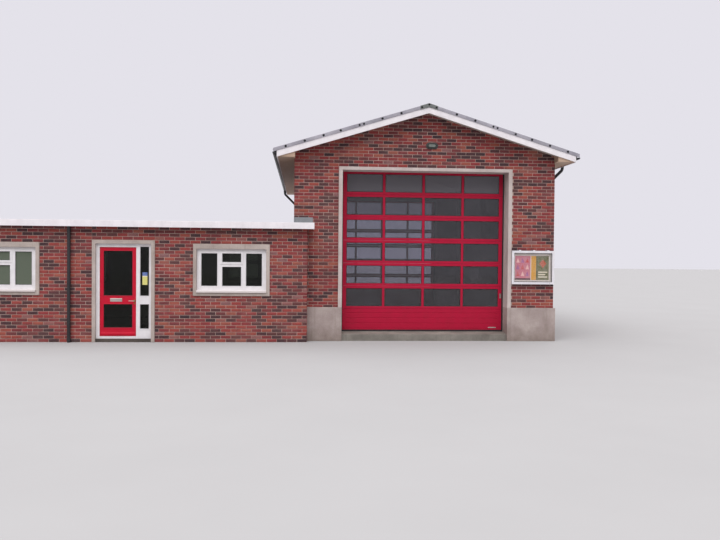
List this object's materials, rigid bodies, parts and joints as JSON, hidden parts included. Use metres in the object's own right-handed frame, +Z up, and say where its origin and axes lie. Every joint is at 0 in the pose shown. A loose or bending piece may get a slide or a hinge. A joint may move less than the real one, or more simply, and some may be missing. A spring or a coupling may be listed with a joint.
{
  "type": "brick fire station building",
  "caption": "Small brick fire station: a gabled engine bay with sectional overhead doors and a flat-roofed wing with windows and a part-glazed entrance door.",
  "frame": {"origin": "middle of the building's box, at the lowest ground", "axes": "+Z up, +Y from the front into the building, +X along the front from the wing towards the engine bay"},
  "size_m": [14.6824, 10.741, 5.4002],
  "materials": {
    "brick": "matt red facing brick",
    "concrete": "weathered cast concrete",
    "cast_stone": "cream cast stone, slightly stained",
    "floor_screed": "floated concrete floor",
    "roof_board": "boarded roof deck, matt",
    "roof_sheet": "grey coated corrugated sheet, weathered",
    "roof_trim": "grey coated flashing",
    "white_board": "off-white board",
    "soffit_board": "tan painted board",
    "black_pipe": "black rainwater plastic",
    "red_door": "crimson coated metal, satin",
    "clear_pane": "clear glazing",
    "door_seal": "black rubber seal",
    "vent_plastic": "dark brown plastic",
    "felt": "grey mineral roofing felt",
    "white_frame": "white window plastic",
    "red_leaf": "painted dark red, satin",
    "handle_metal": "satin anodised",
    "notice_case": "grey coated case with a pale pinboard",
    "notice_frame": "white coated frame"
  },
  "bodies": {
    "building": {"bay_floor": "floor_screed", "bay_side_walls": "brick", "bay_piers": "brick", "bay_gables": "brick", "plinths": "concrete", "portal_posts": "concrete", "portal_lintels": "concrete", "roof_deck_right": "roof_board", "roof_deck_left": "roof_board", "roof_sheets_right": "roof_sheet", "roof_sheets_left": "roof_sheet", "bargeboards": "white_board", "verge_trims": "roof_trim", "ridge_cap": "roof_trim", "boxed_eaves": "soffit_board", "bay_gutters": "black_pipe", "bay_pipes": "black_pipe", "front_door_sections": "red_door", "front_door_panes": "clear_pane", "rear_door_sections": "red_door", "rear_door_panes": "clear_pane", "door_bottoms": "red_door", "door_seals": "door_seal", "gable_vent": "vent_plastic", "notice_board": "notice_case", "wing_floor": "floor_screed", "wing_front_left": "brick", "wing_front_right": "brick", "wing_over_door": "brick", "wing_end_wall": "brick", "wing_rear_wall": "brick", "wing_roof": "felt", "wing_fascia": "white_board", "window_surrounds": "cast_stone", "window_frames": "white_frame", "window_glass": "clear_pane", "doorway_surround": "cast_stone", "wing_door_frame": "white_frame", "sidelight_glass": "clear_pane", "wing_pipe": "black_pipe"},
    "wing_door": {"wing_door_leaf": "red_leaf", "wing_door_glass": "clear_pane", "wing_door_handle": "handle_metal"},
    "board_door": {"notice_board_door": "notice_frame", "notice_board_glass": "clear_pane"}
  },
  "joints": [
    {"name": "wing_door_hinge", "type": "hinge", "parent": "building", "child": "wing_door", "pos_m": [-3.43475, -5.0985, 1.1], "axis": [0, 0, 1], "range_deg": [0, 90]},
    {"name": "notice_board_hinge", "type": "hinge", "parent": "building", "child": "board_door", "pos_m": [6.345, -4.9925, 2.108], "axis": [-1, 0, 0], "range_deg": [0, 80]}
  ]
}
